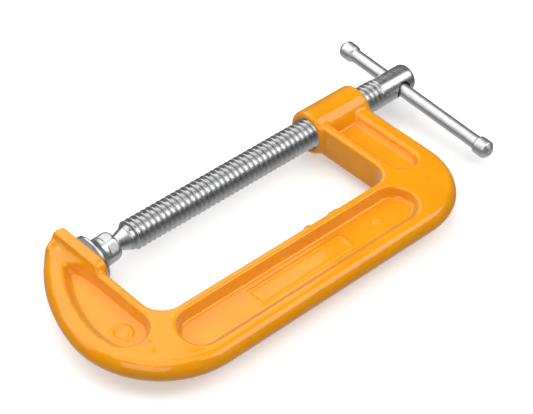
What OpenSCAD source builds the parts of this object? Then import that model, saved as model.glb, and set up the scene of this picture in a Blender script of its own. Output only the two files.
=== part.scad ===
// C-clamp: one frame casting, a threaded spindle, a swivel pad and a sliding bar.
// X runs along the screw from the anvil face towards the boss, Z is the frame's flat normal
// and the spine lies at -Y. The origin is the anvil face's centre on the screw axis.

/* [Frame] */
// Distance from the anvil face to the boss's inner face
clear_span = 116; // [110:1:122]
// Distance from the screw axis down to the spine's inner edge
throat_depth = 46; // [42:1:50]
// Thickness of the casting along the throat
flange_thick = 14; // [12:0.5:16]
// Thickness of the web at the bottom of the pockets
web_thick = 3; // [2.5:0.5:5]
// Diameter of the threaded boss
boss_d = 19; // [18:0.5:21]

/* [Screw] */
// Major diameter of the thread
thread_d = 12.7; // [12:0.1:13]
// Distance between neighbouring threads
thread_pitch = 2.54; // [2.5:0.02:2.6]

/* [Pad] */
// Diameter of the pad's face
pad_d = 19.8; // [18:0.2:21]
// Angle at which the loose pad hangs on its ball
pad_droop = 7; // [0:1:8]

/* [Bar] */
// Diameter of the sliding bar
bar_d = 5.9; // [5.4:0.1:6]
// Overall length of the bar
bar_len = 86; // [80:1:100]
// How far the bar's middle is drawn to one side of the screw
bar_shift = -12.2; // [-16:0.2:16]
// Angle of the bar above the frame's plane
bar_turn = 3.6; // [-90:0.1:90]

/* [Hidden] */
$fn = 64;
eps = 0.01;

// Frame outline, seen along Z
spine_low = -74;                    // lowest line of the outline
arm_right = clear_span + 29;        // right-hand line of the outline
right_r = 30.5;                     // lower right corner
left_x = 8;                         // where the lower left sweep starts
left_r = 38.7;                      // lower left sweep
left_turn = 99;                     // its angle
back_r = 76.5;                      // long back of the left arm
back_end = 134.5;                   // angle at which it reaches the tip
tip_y = 12.5;                       // top of the left arm
arm_in_left = -2.2;                 // inner side of the left arm
arm_in_right = clear_span + 1.5;    // inner side of the right arm
corner_r = 9;                       // both inner corners
rim_r = 4.75;                       // round outer edge, half the outer rim's thickness
half_t = flange_thick / 2;
left_c = [left_x, spine_low + left_r];
back_c = left_c + (back_r - left_r) * [sin(left_turn), cos(left_turn)];

// Pockets
rim_in = 3.4;                       // width of the rim along the throat
spine_rim = 6.5;                    // widths of the outer rims
left_rim = 7.2;
right_rim = 8.3;

// Boss and thread
boss_len = arm_right - clear_span;
boss_round = 1.6;
thread_r = thread_d / 2;
root_r = thread_r - 1.2;
bore_r = thread_r + 0.05;
mouth_r = 7.3;
thread_from = 21;
thread_to = 157;
head_r = 6;
head_end = 175;
head_round = 1.6;
bar_x = 167.6;
bar_hole_r = bar_d / 2 + 0.5;

// Pad and ball
ball_x = 9.5;
ball_r = 4;
socket_r = ball_r + 0.15;
lip_r = 3.75;
neck_r = 3;
nose_end = 19.8;
spigot_r = 2.5;
spigot_len = 6;
pad_face_x = 3.12;
pad_back_x = 4.6;
collar_from = 6.8;
collar_to = 13.8;
collar_flat_r = 5.6;
collar_turn = 20;

// Bar ends
knob_r = 3.9;
knob_len = 7;
knob_taper = 2;

// Points of an arc, measured from straight down and turning towards -X
function sweep(c, r, a0, a1, n) =
    [for (i = [0:n]) let (a = a0 + (a1 - a0) * i / n) c - r * [sin(a), cos(a)]];

// The outline without the throat, drawn in by a margin
function outline(m) = concat(
    [[arm_right - m, tip_y]],
    sweep([arm_right - right_r, spine_low + right_r], right_r - m, -90, 0, 16),
    sweep(left_c, left_r - m, 0, left_turn, 20),
    sweep(back_c, back_r - m, left_turn + 2, back_end, 12));

// A slice of the rim's round edge at an angle from the top
module slice(a) {
    for (s = [-1, 1])
        translate([0, 0, s * rim_r * cos(a) - eps / 2])
            linear_extrude(eps) polygon(outline(rim_r * (1 - sin(a))));
}

// Flat throughout the throat side and sloping away to the thinner, rounded outer rim
module blank() {
    hull() {
        translate([arm_in_left - rim_in, -throat_depth - rim_in, -half_t])
            cube([arm_in_right - arm_in_left + 2 * rim_in, throat_depth + rim_in + tip_y,
                flange_thick]);
        for (a = [0, 30, 60, 90]) slice(a);
    }
}

module throat() {
    w = arm_in_right - arm_in_left;
    translate([arm_in_left, -throat_depth, -20]) linear_extrude(40) {
        translate([0, corner_r]) square([w, 80]);
        translate([corner_r, 0]) square([w - 2 * corner_r, 20]);
        for (x = [corner_r, w - corner_r]) translate([x, corner_r]) circle(corner_r);
    }
    // above the right arm only the boss is left
    translate([arm_in_right - 1, 0, -20]) cube([40, 40, 40]);
}

module spine_pocket() {
    top = -throat_depth - rim_in;
    r = (top - spine_low - spine_rim) / 2;
    x0 = -1.8 + r;
    x1 = clear_span + 0.7 - r;
    translate([x0, top - 2 * r]) square([x1 - x0, 2 * r]);
    for (x = [x0, x1]) translate([x, top - r]) circle(r);
}

module right_pocket() {
    x0 = arm_in_right + rim_in + 0.8;
    x1 = arm_right - right_rim;
    r = (x1 - x0) / 2;
    low = -47;
    translate([x0, low + r]) square([2 * r, -low - r - 3]);
    translate([x0 + r, low + r]) circle(r);
}

module left_pocket() {
    r = 8.8;
    low = -50.3;
    inner = arm_in_left - rim_in;
    intersection() {
        polygon(outline(left_rim));
        translate([-40, low + r]) square([40 + inner, 3 - low - r]);
    }
    translate([inner - r, low + r]) circle(r);
}

module pockets() {
    for (s = [0, 1]) mirror([0, 0, s]) translate([0, 0, web_thick / 2]) linear_extrude(20) {
        spine_pocket();
        right_pocket();
        left_pocket();
    }
}

// Raised block that carries the fixed jaw face, with its shoulder behind
module anvil() {
    half = [[tip_y, 9], [tip_y - 1, 10], [-9.5, 10], [-12.5, 9], [-14.5, 7]];
    face = concat(half, [for (i = [len(half) - 1:-1:0]) [half[i][0], -half[i][1]]]);
    translate([-5, 0, 0]) rotate([90, 0, 90]) linear_extrude(5) polygon(face);
    hull() {
        translate([-5.5, -7, -9]) cube([1, 7 + tip_y, 18]);
        translate([-9, -5, -4.7]) cube([1, 5 + tip_y - 1, 9.4]);
    }
}

// Turned shape along X from points given as [radius, x]
module lathe(points) {
    rotate([0, 90, 0]) rotate_extrude() polygon(points);
}

module boss() {
    x0 = clear_span;
    x1 = arm_right;
    r = boss_d / 2;
    e = boss_round;
    k = e * (1 - sqrt(0.5));
    lathe([[0, x0], [r - e, x0], [r - k, x0 + k], [r, x0 + e],
        [r, x1 - e], [r - k, x1 - k], [r - e, x1], [0, x1]]);
}

module boss_bore() {
    lathe([[0, clear_span - 1], [mouth_r, clear_span - 1], [mouth_r, clear_span],
        [bore_r, clear_span + 1.4], [bore_r, arm_right - 1], [mouth_r - 0.3, arm_right + eps],
        [0, arm_right + eps]]);
}

module frame_casting() color("orange") difference() {
    union() {
        difference() {
            blank();
            throat();
            pockets();
        }
        anvil();
        boss();
    }
    boss_bore();
}

// The spindle's ball and neck, round about X, so they look the same however far they turn
module spindle_nose() color("silver") {
    translate([ball_x, 0, 0]) sphere(ball_r);
    lathe([[0, ball_x], [neck_r, ball_x], [neck_r, collar_to], [4.6, nose_end], [0, nose_end]]);
    translate([nose_end - eps, 0, 0]) rotate([0, 90, 0]) cylinder(h = spigot_len, r = spigot_r);
}

module spindle() color("silver") difference() {
    turns = floor((thread_to - thread_from) / thread_pitch);
    union() {
        lathe(concat(
            [[0, nose_end + 0.05], [root_r, nose_end + 0.05]],
            [for (i = [0:turns - 1], k = [0:2])
                [k == 0 ? root_r : thread_r,
                 thread_from + (i + [0.1, 0.42, 0.78][k]) * thread_pitch]],
            [[root_r, thread_to], [0, thread_to]]));
        lathe([[0, thread_to - 1], [root_r, thread_to - 1], [head_r, thread_to],
            [head_r, head_end - head_round], [head_r - 0.5, head_end - 0.5],
            [head_r - head_round, head_end], [0, head_end]]);
    }
    translate([nose_end - 1, 0, 0]) rotate([0, 90, 0])
        cylinder(h = spigot_len + 1.5, r = spigot_r + 0.05);
    translate([bar_x, 0, 0]) rotate([90 + bar_turn, 0, 0])
        cylinder(h = 20, r = bar_hole_r, center = true);
}

module swivel_pad() color("gainsboro")
    translate([ball_x, 0, 0]) rotate([0, -pad_droop, 0]) translate([-ball_x, 0, 0]) difference() {
        union() {
            r = pad_d / 2;
            lathe([[0, pad_face_x], [r - 0.5, pad_face_x], [r, pad_face_x + 0.5],
                [r, pad_back_x], [r - 0.4, pad_back_x + 0.3], [collar_flat_r, collar_from + 0.4],
                [0, collar_from + 0.4]]);
            intersection() {
                translate([collar_from, 0, 0]) rotate([0, 90, 0]) rotate([0, 0, collar_turn])
                    cylinder(h = collar_to - collar_from, r = collar_flat_r / cos(30), $fn = 6);
                lathe([[0, collar_from - 1], [6.4, collar_from - 1], [6.4, collar_to - 2],
                    [5.2, collar_to - 0.4], [4.6, collar_to], [0, collar_to]]);
            }
        }
        translate([ball_x, 0, 0]) sphere(socket_r);
        lathe([[0, ball_x], [lip_r, ball_x], [lip_r, ball_x + 2], [4.1, collar_to + 1],
            [0, collar_to + 1]]);
    }

module tommy_bar() color("silver")
    translate([bar_x, 0, 0]) rotate([bar_turn, 0, 0]) translate([0, bar_shift, 0])
        rotate([-90, 0, 0]) rotate_extrude() {
            r = bar_d / 2;
            h = bar_len / 2;
            polygon([[0, -h], [knob_r - 1.6, -h], [knob_r - 0.5, 0.8 - h], [knob_r, 2 - h],
                [knob_r, knob_len - h], [r, knob_len + knob_taper - h],
                [r, h - knob_len - knob_taper], [knob_r, h - knob_len],
                [knob_r, h - 2], [knob_r - 0.5, h - 0.8], [knob_r - 1.6, h], [0, h]]);
        }

frame_casting();
spindle_nose();
spindle();
swivel_pad();
tommy_bar();
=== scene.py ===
"""C-clamp: enamelled casting, plated screw, swivel pad and sliding bar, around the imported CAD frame."""

import math

import bmesh
import bpy
import numpy as np
import openvdb
from mathutils import Matrix, Vector


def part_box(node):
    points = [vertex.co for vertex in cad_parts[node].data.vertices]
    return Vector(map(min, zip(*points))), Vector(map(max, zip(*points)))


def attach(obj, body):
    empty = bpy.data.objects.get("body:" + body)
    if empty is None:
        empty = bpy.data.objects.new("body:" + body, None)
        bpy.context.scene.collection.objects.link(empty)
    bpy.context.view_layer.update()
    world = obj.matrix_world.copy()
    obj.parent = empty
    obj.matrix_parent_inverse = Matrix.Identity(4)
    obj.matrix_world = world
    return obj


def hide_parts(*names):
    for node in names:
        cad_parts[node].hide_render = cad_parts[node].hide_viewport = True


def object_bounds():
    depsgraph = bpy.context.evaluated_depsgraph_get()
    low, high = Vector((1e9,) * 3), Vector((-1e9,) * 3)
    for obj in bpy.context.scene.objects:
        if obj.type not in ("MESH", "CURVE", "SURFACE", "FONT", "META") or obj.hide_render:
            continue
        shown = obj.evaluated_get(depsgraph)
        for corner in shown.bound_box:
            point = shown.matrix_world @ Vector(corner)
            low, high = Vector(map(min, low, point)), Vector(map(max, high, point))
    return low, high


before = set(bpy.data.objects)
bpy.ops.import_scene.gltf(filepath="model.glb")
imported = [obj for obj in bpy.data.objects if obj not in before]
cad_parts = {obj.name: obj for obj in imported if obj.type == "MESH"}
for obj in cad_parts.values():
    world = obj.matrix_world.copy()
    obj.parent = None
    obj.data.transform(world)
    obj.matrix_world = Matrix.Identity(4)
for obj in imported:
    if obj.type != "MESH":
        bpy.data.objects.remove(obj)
cad_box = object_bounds()
MM = 0.001

# ---------------------------------------------------------------- the casting's sizes, in millimetres
SPINE_LOW, ARM_RIGHT, RIGHT_R = -74.0, 145.0, 30.5
LEFT_X, LEFT_R, LEFT_TURN, BACK_R = 8.0, 38.7, math.radians(99), 76.5
TIP_Y, THROAT_Y, THROAT_X0, THROAT_X1, CORNER_R = 12.5, -46.0, -2.2, 117.5, 9.0
HALF_T, RIM_R, RIM_IN, WEB = 7.0, 4.75, 3.4, 1.5
SPINE_RIM, LEFT_RIM, RIGHT_RIM = 6.5, 7.2, 8.3
BOSS_X0, BOSS_R, BORE_R, MOUTH_R = 116.0, 9.5, 6.42, 7.3
JAW_HALF_Z, JAW_T = 10.0, 5.0
LEFT_C = np.array([LEFT_X, SPINE_LOW + LEFT_R])
BACK_C = LEFT_C + (BACK_R - LEFT_R) * np.array([math.sin(LEFT_TURN), math.cos(LEFT_TURN)])
# flecks of flash on the throat side, as x, z and radius, and shallow dents, as x, y and radius
FLECKS = ((71.5, 6.2, 1.0), (84.0, 6.0, 0.9), (86.5, 6.1, 0.8))
DENTS = ((-11.5, -53, 1.0), (-13, -57.5, 1.3), (130.7, -54.7, 2.4))
DENT_DEPTH, PARTING_DEPTH = 0.22, 0.12

# ---------------------------------------------------------------- the moving pieces' sizes, in millimetres
PITCH, CREST_R, ROOT_R = 2.54, 6.35, 5.05
THREAD_X0, THREAD_X1, HEAD_R, HEAD_END = 19.9, 157.4, 6.1, 175.0
BALL_X, BALL_R, SOCKET_R, LIP_R = 9.5, 4.0, 4.15, 3.8
NECK_R, NOSE_END, NOSE_END_R = 3.0, 19.8, 4.7
PAD_R, PAD_MID, PAD_HALF_T, PAD_DROOP = 9.9, 3.87, 0.75, math.radians(7)
COLLAR_MID, COLLAR_HALF, COLLAR_FLAT_R, COLLAR_TURN = 10.0, 4.2, 5.6, 50
BAR_X, BAR_TURN, BAR_SHIFT = 167.6, math.radians(3.6), -12.2
BAR_R, KNOB_R, BAR_HALF = 2.95, 3.9, 43.0
# the loose bar rests at the edge of its hole, so the hole is off the bar's centre by these
HOLE_R, HOLE_OFF_X, HOLE_OFF_Z = 3.7, -0.2, 0.3
# a plain number for "no surface here" in a distance field
FAR = 9.0


# ---------------------------------------------------------------- distance fields
def rmax(a, b, r):
    """Both a and b below zero, with the edge between them rounded to radius r."""
    return np.where((a > -r) & (b > -r), np.hypot(a + r, b + r) - r, np.maximum(a, b))


def rmin(a, b, r):
    """Either a or b below zero, with a fillet of radius r between them."""
    return -rmax(-a, -b, r)


def round_box(x, y, cx, cy, hx, hy, r):
    """Distance to a rectangle with round corners, from its centre and half sizes."""
    qx, qy = np.abs(x - cx) - hx + r, np.abs(y - cy) - hy + r
    return np.hypot(np.maximum(qx, 0), np.maximum(qy, 0)) + np.minimum(np.maximum(qx, qy), 0) - r


def stadium(x, y, x0, y0, x1, y1, r):
    """Distance to a slot with round ends, between two points."""
    dx, dy = x1 - x0, y1 - y0
    t = np.clip(((x - x0) * dx + (y - y0) * dy) / (dx * dx + dy * dy), 0, 1)
    return np.hypot(x - x0 - t * dx, y - y0 - t * dy) - r


def smooth(t):
    """Soft rise from 0 to 1 as t goes from 0 to 1."""
    t = np.clip(t, 0, 1)
    return t * t * (3 - 2 * t)


def step(d, w):
    """1 where d is well below zero, 0 where it's well above, over a soft edge of width w."""
    return smooth(0.5 - d / w)


def inset(x, y):
    """How far a point lies inside the frame's outer outline."""
    cx, cy = ARM_RIGHT - RIGHT_R, SPINE_LOW + RIGHT_R
    corner = RIGHT_R - np.hypot(x - cx, y - cy)
    right = np.where(y > cy, ARM_RIGHT - x, corner)
    lower = np.where(x > cx, right, y - SPINE_LOW)
    past = (x - LEFT_C[0]) * -math.cos(LEFT_TURN) + (y - LEFT_C[1]) * math.sin(LEFT_TURN)
    left = np.where(past > 0, BACK_R - np.hypot(x - BACK_C[0], y - BACK_C[1]),
                    LEFT_R - np.hypot(x - LEFT_C[0], y - LEFT_C[1]))
    return np.where(x > LEFT_X, lower, left)


def throat(x, y):
    """Distance to the open throat, below zero inside it."""
    half = 100.0
    return round_box(x, y, (THROAT_X0 + THROAT_X1) / 2, THROAT_Y + half,
                     (THROAT_X1 - THROAT_X0) / 2, half, CORNER_R)


def pockets(x, y, s):
    """Distance to the nearest pocket's upper edge, below zero inside it."""
    top = THROAT_Y - RIM_IN
    r = (top - SPINE_LOW - SPINE_RIM) / 2
    spine = stadium(x, y, -1.8 + r, top - r, 116.7 - r, top - r, r)
    x0, x1 = THROAT_X1 + 4.2, ARM_RIGHT - RIGHT_RIM
    r = (x1 - x0) / 2
    right = stadium(x, y, x0 + r, -47 + r, x0 + r, 30, r)
    inner = THROAT_X0 - RIM_IN
    r, cy = 8.64, -41.5
    left = np.where(y < cy, np.hypot(x - inner + r, y - cy) - r, rmax(LEFT_RIM - s, x - inner, 1.6))
    return np.minimum(np.minimum(spine, right), left)


def relief(x, y):
    """Plain cast-in marks on the web: a blank panel with a border, a ring and a lozenge."""
    panel = round_box(x, y, 57.5, -57.8, 25, 4.6, 2.2)
    border = np.abs(panel + 1.3) - 0.35
    ring = np.abs(np.hypot(x + 14.5, y + 39.5) - 3.6) - 0.8
    lozenge = np.abs(x - 99) / 1.3 + np.abs(y + 58) - 2.0
    marks = 0.32 * step(panel, 0.9) + 0.3 * step(border, 0.6)
    return marks + 0.5 * step(ring, 0.8) + 0.4 * step(lozenge, 0.7)


def blank(x, y, z, az, s, t):
    """The plate of the frame with its round outer edge, without pockets, jaw or boss."""
    across = np.maximum(t - RIM_IN, 0)
    along = np.maximum(s - RIM_R, 0)
    h = HALF_T - (HALF_T - RIM_R) * across / (across + along + 1e-6)
    body = np.where(s < RIM_R, np.hypot(RIM_R - s, z) - RIM_R, (az - h) * 0.99)
    body = rmax(body, y - np.where(x > 60, 0.0, TIP_Y), 1.0)
    return rmax(body, -t, 1.25), h


def pocket_cut(x, y, az, s, h):
    """The pockets on both faces: coves towards the outer rim, steep walls elsewhere."""
    cove = smooth((13.0 - s) / 5.0)
    wall = pockets(x, y, s) + (0.14 + 0.42 * cove) * (h - az)
    return rmax(wall, WEB + relief(x, y) - az, 1.3 + 0.9 * cove)


def jaw(x, y, az, s):
    """The raised jaw plate, square at the top and rounded below, and the gusset behind it."""
    r = np.where(y > 0, 1.6, 4.2)
    qy, qz = np.abs(y + 1.0) - 13.5 + r, az - JAW_HALF_Z + r
    plate = np.hypot(np.maximum(qy, 0), np.maximum(qz, 0)) + np.minimum(np.maximum(qy, qz), 0) - r
    plate = rmax(plate, np.abs(x + JAW_T / 2) - JAW_T / 2, 0.7)
    gusset = rmax(az * 0.8 - x * 0.6 - 9.3 - 0.4 * smooth((y - 7) / 4), np.abs(y + 0.2) - 12.6, 1.5)
    gusset = rmax(rmax(gusset, x + 3, 0.5), 0.3 - s, 0.9)
    gusset = rmax(gusset, -5.5 - 4.0 * smooth((y + 9) / 11) - x, 0.8)
    return plate, gusset


def with_boss(body, x, y, z):
    """Adds the boss to the body and cuts its bore."""
    rad = np.hypot(y, z)
    mid, half = (BOSS_X0 + ARM_RIGHT) / 2, (ARM_RIGHT - BOSS_X0) / 2
    body = rmin(body, rmax(rad - BOSS_R, np.abs(x - mid) - half, 1.7), 1.2)
    flared = np.maximum(0, (MOUTH_R - BORE_R) - np.abs(np.abs(x - mid) - half) * 0.8)
    bore = rad - BORE_R - flared
    return rmax(body, -np.where(x > 60, bore, FAR), 0.3)


def with_flaws(body, x, y, z, s):
    """Adds flecks of flash, shallow dents and a faint parting line round the outer edge."""
    for fx, fz, fr in FLECKS:
        fleck = np.sqrt(((x - fx) / 1.4) ** 2 + (y - THROAT_Y + 0.3) ** 2 + (z - fz) ** 2) - fr
        body = rmin(body, fleck, 0.5)
    for dx, dy, size in DENTS:
        body = body + DENT_DEPTH * np.exp(-((x - dx) ** 2 + (y - dy) ** 2) / size ** 2) * step(3 - z, 2)
    line = PARTING_DEPTH * (np.exp(-((z / 0.5) ** 2)) - 1) * step(s - 1.5, 2.0)
    return body - line


def casting(p):
    """Distance field of the frame casting."""
    x, y, z = p
    az = np.abs(z)
    s, t = inset(x, y), throat(x, y)
    body, h = blank(x, y, z, az, s, t)
    body = rmax(body, -pocket_cut(x, y, az, s, h), 1.1)
    plate, gusset = jaw(x, y, az, s)
    body = np.maximum(rmin(rmin(body, gusset, 1.8), plate, 1.3), az - JAW_HALF_Z)
    # the jaw's face is flat, so nothing at that end passes x = 0
    body = rmax(body, np.where((x < 40) & (y > -20), x, -FAR), 0.6)
    return with_flaws(with_boss(body, x, y, z), x, y, z, s)


def pad_field(p):
    """Distance field of the swivel pad, upright, with its front at x = 3.12."""
    x, y, z = p
    rad = np.hypot(y, z)
    disc = rmax(rad - PAD_R, np.abs(x - PAD_MID) - PAD_HALF_T, 0.65)
    # hollow flare from inside the disc's rim up to the collar
    flare = rmax(rad - 5.9 - 2.3 * np.clip((8.4 - x) / 3.8, 0, 1) ** 1.7, np.abs(x - 6.2) - 3.0, 0.25)
    hexagon = rad - 6.25
    for k in range(6):
        a = math.radians(COLLAR_TURN + 60 * k)
        hexagon = rmax(hexagon, z * math.cos(a) - y * math.sin(a) - COLLAR_FLAT_R, 0.5)
    chamfer = (rad - 5.3) * 0.87 + (x - 14.2) * 0.5
    collar = rmax(rmax(hexagon, np.abs(x - COLLAR_MID) - COLLAR_HALF, 0.5), chamfer, 0.4)
    body = rmin(rmin(disc, flare, 0.25), collar, 0.5)
    mouth = np.maximum(rad - LIP_R, BALL_X - x)
    socket = np.minimum(np.sqrt(rad ** 2 + (x - BALL_X) ** 2) - SOCKET_R, mouth)
    return rmax(body, -socket, 0.3)


def gradient(field, pts, e=0.02):
    """Slope of a distance field at each point, by central differences."""
    g = np.empty_like(pts)
    for k in range(3):
        d = np.zeros(3)
        d[k] = e
        g[:, k] = (field((pts + d).T) - field((pts - d).T)) / (2 * e)
    return g


def surface(name, field, lo, hi, voxel):
    """Closed quad mesh of field = 0 between two corners, in millimetres, drawn on to the true surface."""
    lo = np.array(lo, float)
    n = np.ceil((np.array(hi) - lo) / voxel).astype(int) + 1
    x, y, z = (lo[k] + voxel * np.arange(n[k]) for k in range(3))
    values = np.empty(n, np.float32)
    for i in range(n[0]):
        yy, zz = np.meshgrid(y, z, indexing="ij")
        values[i] = field((np.full_like(yy, x[i]), yy, zz))
    grid = openvdb.FloatGrid(3.0)
    grid.copyFromArray(np.clip(values, -3, 3))
    pts, quads = grid.convertToQuads(0)
    pts = lo + pts.astype(float) * voxel
    for _ in range(3):
        g = gradient(field, pts)
        move = field(pts.T)[:, None] * g / np.maximum((g * g).sum(1), 0.25)[:, None]
        pts = pts - np.clip(move, -0.4 * voxel, 0.4 * voxel)
    mesh = bpy.data.meshes.new(name)
    mesh.from_pydata((pts * MM).tolist(), [], quads[:, ::-1].tolist())
    return mesh


def add(name, mesh, body, node, material):
    """Puts a mesh in the scene for a CAD node, on its body."""
    mesh.validate()
    mesh.polygons.foreach_set("use_smooth", np.ones(len(mesh.polygons), bool))
    mesh.update()
    obj = bpy.data.objects.new(name, mesh)
    bpy.context.scene.collection.objects.link(obj)
    obj.data.materials.append(material)
    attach(obj, body)
    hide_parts(node)
    return obj


# ---------------------------------------------------------------- turned and threaded shapes
def shell(name, rings):
    """Closed mesh from an array of rings, shape (rings, points, 3), capped by a point at each end."""
    rings = np.asarray(rings, float)
    n, m = rings.shape[:2]
    verts = np.vstack([rings.reshape(-1, 3), rings[0].mean(0), rings[-1].mean(0)])
    i, j = np.meshgrid(np.arange(n - 1), np.arange(m), indexing="ij")
    k = (j + 1) % m
    quads = np.stack([i * m + j, i * m + k, (i + 1) * m + k, (i + 1) * m + j], -1).reshape(-1, 4)
    j = np.arange(m)
    k = (j + 1) % m
    first = np.stack([np.full(m, n * m), k, j], 1)
    last = np.stack([np.full(m, n * m + 1), (n - 1) * m + j, (n - 1) * m + k], 1)
    mesh = bpy.data.meshes.new(name)
    mesh.from_pydata((verts * MM).tolist(), [], quads.tolist() + first.tolist() + last.tolist())
    return mesh


def round_profile(points, r, n=5):
    """Profile [(x, radius)] with its corners rounded; r is one radius or one for each inner point."""
    pts = np.array(points, float)
    out = [pts[0]]
    for i in range(1, len(pts) - 1):
        a, b, c = pts[i - 1], pts[i], pts[i + 1]
        u, v = (a - b), (c - b)
        lu, lv = np.linalg.norm(u), np.linalg.norm(v)
        d = min(r[i - 1] if hasattr(r, "__len__") else r, lu * 0.45, lv * 0.45)
        p, q = b + u / lu * d, b + v / lv * d
        for t in np.linspace(0, 1, n):
            out.append((1 - t) ** 2 * p + 2 * t * (1 - t) * b + t * t * q)
    out.append(pts[-1])
    return np.array(out)


def turned(name, profile, m=72, wobble=None):
    """Surface of revolution about X from [(x, radius)]."""
    a = np.linspace(0, 2 * math.pi, m, endpoint=False)
    x, r = profile[:, 0][:, None], profile[:, 1][:, None]
    r = np.broadcast_to(r, (len(profile), m)).copy()
    if wobble is not None:
        r *= wobble(x, a[None, :])
    return shell(name, np.stack([np.broadcast_to(x, r.shape), r * np.cos(a), r * np.sin(a)], -1))


def spindle_mesh(name, m, per_pitch):
    """Right-hand rolled thread running into the smooth head."""
    n = int((THREAD_X1 - THREAD_X0) / PITCH * per_pitch)
    x = np.linspace(THREAD_X0, THREAD_X1, n)
    a = np.linspace(0, 2 * math.pi, m, endpoint=False)
    xx, aa = np.meshgrid(x, a, indexing="ij")
    phase = (xx / PITCH - aa / (2 * math.pi)) % 1.0
    ridge = smooth((0.68 - np.abs(phase - 0.5) * 2) / 0.6)
    fade_in = smooth((xx - THREAD_X0 - 0.4) / 1.6)
    fade_out = smooth((THREAD_X1 - 0.3 - xx) / 1.6)
    r = ROOT_R + (CREST_R - ROOT_R) * ridge * fade_in
    r = HEAD_R + (r - HEAD_R) * fade_out
    lead_r = 4.75
    start = lead_r + (r - lead_r) * smooth((xx - THREAD_X0) / 0.7)
    rings = [np.stack([xx, start * np.cos(aa), start * np.sin(aa)], -1)]
    tail = round_profile([(THREAD_X1, HEAD_R), (HEAD_END, HEAD_R), (HEAD_END, 0.02)], 2.0, 8)
    tail = np.vstack([[(THREAD_X1 + k, HEAD_R) for k in range(1, 15)], tail[1:]])
    tx, tr = tail[:, 0][:, None], tail[:, 1][:, None]
    rings.append(np.stack([np.broadcast_to(tx, (len(tail), m)), tr * np.cos(a), tr * np.sin(a)], -1))
    return shell(name, np.vstack(rings))


def outward(mesh):
    """Turns every face of a closed mesh outward."""
    bm = bmesh.new()
    bm.from_mesh(mesh)
    bmesh.ops.recalc_face_normals(bm, faces=bm.faces)
    if bm.calc_volume(signed=True) < 0:
        bmesh.ops.reverse_faces(bm, faces=bm.faces)
    bm.to_mesh(mesh)
    bm.free()


def drill(mesh, cutter):
    """Cuts one closed mesh out of another with an exact boolean."""
    a, b = bpy.data.objects.new("a", mesh), bpy.data.objects.new("b", cutter)
    for o in (a, b):
        outward(o.data)
        bpy.context.scene.collection.objects.link(o)
    cut = a.modifiers.new("cut", "BOOLEAN")
    cut.object, cut.operation, cut.solver = b, "DIFFERENCE", "EXACT"
    result = bpy.data.meshes.new_from_object(a.evaluated_get(bpy.context.evaluated_depsgraph_get()))
    for o in (a, b):
        bpy.data.objects.remove(o)
    return result


# ---------------------------------------------------------------- materials
def node_material(name, **values):
    """A Principled material with constant values on its sockets."""
    mat = bpy.data.materials.new(name)
    mat.use_nodes = True
    shader = mat.node_tree.nodes["Principled BSDF"]
    for key, value in values.items():
        shader.inputs[key.replace("_", " ")].default_value = value
    return mat, mat.node_tree, shader


def noise(tree, coords, scale, detail=2.0, stretch=(1, 1, 1)):
    """Noise in object space, stretched along the axes."""
    node = tree.nodes.new("ShaderNodeTexNoise")
    node.inputs["Scale"].default_value = scale
    node.inputs["Detail"].default_value = detail
    mapping = tree.nodes.new("ShaderNodeMapping")
    mapping.inputs["Scale"].default_value = stretch
    tree.links.new(coords.outputs["Object"], mapping.inputs["Vector"])
    tree.links.new(mapping.outputs["Vector"], node.inputs["Vector"])
    return node.outputs["Fac"]


def ramp(tree, factor, low, high, a=0.3, b=0.7):
    """Colour that goes from low to high as the factor goes from a to b."""
    node = tree.nodes.new("ShaderNodeValToRGB")
    first, last = node.color_ramp.elements
    first.position, last.position = a, b
    first.color, last.color = low, high
    tree.links.new(factor, node.inputs["Fac"])
    return node.outputs["Color"]


def spread(tree, factor, low, high):
    """Value from low to high over the middle of a noise's range."""
    node = tree.nodes.new("ShaderNodeMapRange")
    node.inputs["From Min"].default_value = 0.3
    node.inputs["From Max"].default_value = 0.7
    node.inputs["To Min"].default_value = low
    node.inputs["To Max"].default_value = high
    tree.links.new(factor, node.inputs["Value"])
    return node.outputs["Result"]


def bump(tree, shader, height, strength, distance, under=None):
    """Bump on the shader's normal, laid over another bump where one is given."""
    node = tree.nodes.new("ShaderNodeBump")
    node.inputs["Strength"].default_value = strength
    node.inputs["Distance"].default_value = distance
    tree.links.new(height, node.inputs["Height"])
    if under is not None:
        tree.links.new(under.outputs["Normal"], node.inputs["Normal"])
    tree.links.new(node.outputs["Normal"], shader.inputs["Normal"])
    return node


def enamel():
    """Thick glossy orange enamel over a casting: soft orange peel, slightly uneven colour."""
    mat, tree, shader = node_material("enamel", IOR=1.45, Specular_IOR_Level=0.12, Coat_Weight=0.8,
                                      Coat_Roughness=0.05, Coat_IOR=1.5)
    coords = tree.nodes.new("ShaderNodeTexCoord")
    tone = noise(tree, coords, 60, 3)
    colour = ramp(tree, tone, (0.92, 0.340, 0.002, 1), (0.98, 0.378, 0.003, 1))
    tree.links.new(colour, shader.inputs["Base Color"])
    tree.links.new(spread(tree, noise(tree, coords, 250, 3), 0.24, 0.36), shader.inputs["Roughness"])
    cast = bump(tree, shader, noise(tree, coords, 110, 2), 0.7, 0.0009)
    bump(tree, shader, noise(tree, coords, 700, 2), 0.3, 0.0002, cast)
    return mat


def plated(name, grain, roughness=(0.24, 0.36), colour=((0.56, 0.565, 0.57, 1), (0.70, 0.70, 0.70, 1))):
    """Bright zinc plate over steel, with fine tool marks that run with the turning."""
    mat, tree, shader = node_material(name, Metallic=1.0)
    coords = tree.nodes.new("ShaderNodeTexCoord")
    tree.links.new(ramp(tree, noise(tree, coords, 350, 4), *colour), shader.inputs["Base Color"])
    rough = spread(tree, noise(tree, coords, 900, 3, grain), *roughness)
    tree.links.new(rough, shader.inputs["Roughness"])
    marks = bump(tree, shader, noise(tree, coords, 1100, 2, grain), 0.12, 0.00005)
    bump(tree, shader, noise(tree, coords, 260, 2), 0.12, 0.0001, marks)
    return mat


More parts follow.
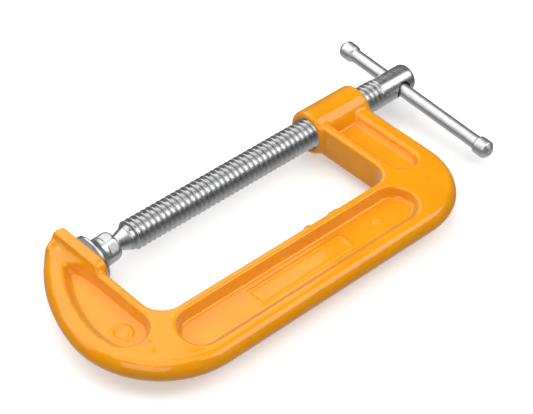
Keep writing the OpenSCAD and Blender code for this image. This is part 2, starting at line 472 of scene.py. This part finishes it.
def paint_root_shade(mat, root, crest, dark):
    """Painted shade down in the thread roots, full plate colour on the crests, by distance from the
    screw's own axis.
    """
    tree, shader = mat.node_tree, mat.node_tree.nodes["Principled BSDF"]
    coords = tree.nodes.new("ShaderNodeTexCoord")
    flat = tree.nodes.new("ShaderNodeMapping")
    flat.inputs["Scale"].default_value = (0, 1, 1)
    tree.links.new(coords.outputs["Object"], flat.inputs["Vector"])
    radius = tree.nodes.new("ShaderNodeVectorMath")
    radius.operation = "LENGTH"
    tree.links.new(flat.outputs["Vector"], radius.inputs[0])
    depth = tree.nodes.new("ShaderNodeMapRange")
    depth.inputs["From Min"].default_value = root * MM
    depth.inputs["From Max"].default_value = crest * MM
    tree.links.new(radius.outputs["Value"], depth.inputs["Value"])
    # painted shade: the plate colour is scaled darker towards the thread roots and left full on the crests
    shade = ramp(tree, depth.outputs["Result"], (dark, dark, dark, 1), (1, 1, 1, 1), 0.1, 0.85)
    mix = tree.nodes.new("ShaderNodeMix")
    mix.data_type, mix.blend_type = "RGBA", "MULTIPLY"
    mix.inputs["Factor"].default_value = 1
    plate = shader.inputs["Base Color"].links[0].from_socket
    tree.links.new(plate, mix.inputs["A"])
    tree.links.new(shade, mix.inputs["B"])
    tree.links.new(mix.outputs["Result"], shader.inputs["Base Color"])


# ---------------------------------------------------------------- pieces
ENAMEL = enamel()
SCREW_STEEL = plated("screw_steel", (1.0, 0.3, 0.3))
NECK_STEEL = plated("neck_steel", (1.0, 0.3, 0.3))
# painted shade in the screw's thread roots, darker towards the root
paint_root_shade(SCREW_STEEL, ROOT_R, 6.3, 0.85)
PAD_STEEL = plated("pad_steel", (1.0, 0.3, 0.3), (0.3, 0.42))
BAR_STEEL = plated("bar_steel", (0.5, 0.12, 0.5), (0.36, 0.46),
                   ((0.66, 0.665, 0.67, 1), (0.78, 0.78, 0.78, 1)))


def make_frame():
    """The casting, meshed from its distance field."""
    lo, hi = np.array(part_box("frame_casting")) / MM
    mesh = surface("frame", casting, lo - 1.0, hi + 1.0, 0.55)
    outward(mesh)
    obj = add("cast_frame", mesh, "frame", "frame_casting", ENAMEL)
    # the bright metal mirrors the studio and not the orange frame beside it
    obj.visible_glossy = False


def sharp_edges(obj, degrees, beyond):
    """Smooth shading except over edges sharper than an angle, past a place along X."""
    mesh = obj.data
    bm = bmesh.new()
    bm.from_mesh(mesh)
    limit = math.radians(degrees)
    for edge in bm.edges:
        edge.smooth = edge.verts[0].co.x < beyond or edge.calc_face_angle(0) < limit
    bm.to_mesh(mesh)
    bm.free()


def make_spindle():
    """The threaded screw and its head, with the hole for the bar drilled through."""
    reach = 9.0
    cutter = turned("cutter", np.array([(-reach, HOLE_R), (reach, HOLE_R)]), 48)
    turn = (Matrix.Translation(((BAR_X + HOLE_OFF_X) * MM, 0, HOLE_OFF_Z * MM))
            @ Matrix.Rotation(BAR_TURN, 4, "X") @ Matrix.Rotation(math.radians(90), 4, "Z"))
    cutter.transform(turn)
    mesh = drill(spindle_mesh("spindle", 64, 20), cutter)
    mesh.materials.clear()
    obj = add("threaded_spindle", mesh, "screw", "spindle", SCREW_STEEL)
    sharp_edges(obj, 40, THREAD_X1 * MM)


def make_nose():
    """The ball and neck at the end of the spindle."""
    ball = [(BALL_X + BALL_R * math.cos(t), BALL_R * math.sin(t))
            for t in np.linspace(math.pi - 0.02, 0.72, 22)]
    neck = round_profile([ball[-1], (13.6, NECK_R), (15.0, 3.1), (19.0, 4.45),
                          (NOSE_END, NOSE_END_R), (NOSE_END, 0.02)],
                         [0.6, 0.8, 0.8, 0.25, 0.2], 5)
    mesh = turned("nose", np.vstack([ball[:-1], neck]), 64)
    outward(mesh)
    add("ball_neck", mesh, "nose", "spindle_nose", NECK_STEEL)


def make_pad():
    """The swivel pad, hanging at an angle on its ball."""
    mesh = surface("pad", pad_field, (2.4, -10.7, -10.7), (14.8, 10.7, 10.7), 0.18)
    centre = Vector((BALL_X * MM, 0, 0))
    mesh.transform(Matrix.Translation(centre) @ Matrix.Rotation(-PAD_DROOP, 4, "Y")
                   @ Matrix.Translation(-centre))
    outward(mesh)
    add("swivel_pad_forged", mesh, "pad", "swivel_pad", PAD_STEEL)


def make_bar():
    """The sliding bar with its two upset ends."""
    r, knob, half = BAR_R, KNOB_R, BAR_HALF
    end = [(half - 9.0, r), (half - 7.2, r + 0.12), (half - 6.6, knob - 0.1), (half - 5.6, knob),
           (half - 1.8, knob), (half, knob - 1.9), (half, 0.02)]
    start = [(-x, rad) for x, rad in reversed(end)]
    mid = [(x, r) for x in np.linspace(-half + 12, half - 12, 24)]
    profile = round_profile(start + mid + end, 0.35, 5)
    # a drawn bar is never quite round
    mesh = turned("bar", profile, 72, lambda x, a: 1 - 0.004 - 0.003 * np.cos(2 * a + x * 0.05))
    turn = (Matrix.Translation((BAR_X * MM, 0, 0)) @ Matrix.Rotation(BAR_TURN, 4, "X")
            @ Matrix.Translation((0, BAR_SHIFT * MM, 0)) @ Matrix.Rotation(math.radians(90), 4, "Z"))
    mesh.transform(turn)
    outward(mesh)
    add("sliding_bar", mesh, "bar", "tommy_bar", BAR_STEEL)


make_frame()
make_spindle()
make_nose()
make_pad()
make_bar()


# ---------------------------------------------------------------- stage, lights and camera, in metres
CENTRE = (0.06, -0.03, 0)
LENS_MM = 125.5
CAMERA_PLACE = (-0.3073, -0.4112, 0.4818)
CAMERA_VIEW = (0.5233, 0.5352, -0.6631)
CAMERA_RIGHT = (0.7321, -0.6806, 0.0285)


def make_floor():
    """White floor just under the clamp."""
    bpy.ops.mesh.primitive_plane_add(size=3, location=(*CENTRE[:2], cad_box[0][2] - 0.0005))
    floor = bpy.context.object
    floor.name = "floor"
    mat, tree, shader = node_material("paper", Roughness=0.9, Specular_IOR_Level=0.1,
                                      Emission_Color=(1, 1, 1, 1), Emission_Strength=0.3)
    coords = tree.nodes.new("ShaderNodeTexCoord")
    tree.links.new(ramp(tree, noise(tree, coords, 4), (0.92, 0.92, 0.92, 1), (0.94, 0.94, 0.94, 1)),
                   shader.inputs["Base Color"])
    floor.data.materials.append(mat)
    # the room below stands in for the floor in reflections and bounced light, as on a light table
    floor.visible_glossy = False
    floor.visible_diffuse = False


def area(name, spot, aim, size, watts):
    """Rectangular white lamp at a spot, turned towards an aim."""
    light = bpy.data.lights.new(name, "AREA")
    light.shape = "RECTANGLE"
    light.size, light.size_y = size
    light.energy = watts
    obj = bpy.data.objects.new(name, light)
    obj.location = spot
    obj.rotation_euler = (Vector(aim) - Vector(spot)).to_track_quat("-Z", "Y").to_euler()
    bpy.context.scene.collection.objects.link(obj)


def make_camera():
    """The view fitted to the photograph, looking down at the clamp from the front left."""
    data = bpy.data.cameras.new("camera")
    data.lens, data.sensor_width = LENS_MM, 36
    data.clip_start, data.clip_end = 0.05, 30
    camera = bpy.data.objects.new("camera", data)
    right = Vector(CAMERA_RIGHT).normalized()
    back = -Vector(CAMERA_VIEW).normalized()
    up = back.cross(right)
    turn = Matrix((right, up, back)).transposed().to_4x4()
    camera.matrix_world = Matrix.Translation(CAMERA_PLACE) @ turn
    bpy.context.scene.collection.objects.link(camera)
    bpy.context.scene.camera = camera



def panel(name, azimuth, elevation, distance, size, radiance):
    """Soft box at a bearing from the clamp, aimed at it, with a given brightness."""
    a, e = math.radians(azimuth), math.radians(elevation)
    ray = Vector((math.cos(a) * math.cos(e), math.sin(a) * math.cos(e), math.sin(e)))
    watts = radiance * math.pi * size[0] * size[1]
    area(name, Vector(CENTRE) + ray * distance, CENTRE, size, watts)


make_floor()
# bearing and height in degrees, distance and size in metres, brightness
panel("back_panel", 91, 47, 1.5, (2.0, 1.2), 1.6)
panel("overhead", 180, 82, 1.3, (1.1, 1.1), 1.5)
panel("right", -46, 47, 1.2, (1.0, 0.7), 3.0)
panel("back_left", 138, 27, 1.3, (0.8, 0.7), 1.3)
panel("front_left", 212, 30, 1.2, (0.9, 0.7), 2.3)
make_camera()


def make_world(above, below):
    """Dim studio room that grows lighter towards straight down, as over a white table."""
    world = bpy.data.worlds.new("studio")
    world.use_nodes = True
    tree = world.node_tree
    coords = tree.nodes.new("ShaderNodeTexCoord")
    split = tree.nodes.new("ShaderNodeSeparateXYZ")
    tree.links.new(coords.outputs["Generated"], split.inputs["Vector"])
    down = tree.nodes.new("ShaderNodeMath")
    down.operation = "MULTIPLY"
    down.inputs[1].default_value = -1
    tree.links.new(split.outputs["Z"], down.inputs[0])
    sky = ramp(tree, down.outputs["Value"], (above, above, above, 1), (below, below, below, 1), 0.15, 0.9)
    tree.links.new(sky, tree.nodes["Background"].inputs["Color"])
    bpy.context.scene.world = world


make_world(0.1, 0.6)
bpy.context.scene.view_settings.view_transform = "Standard"
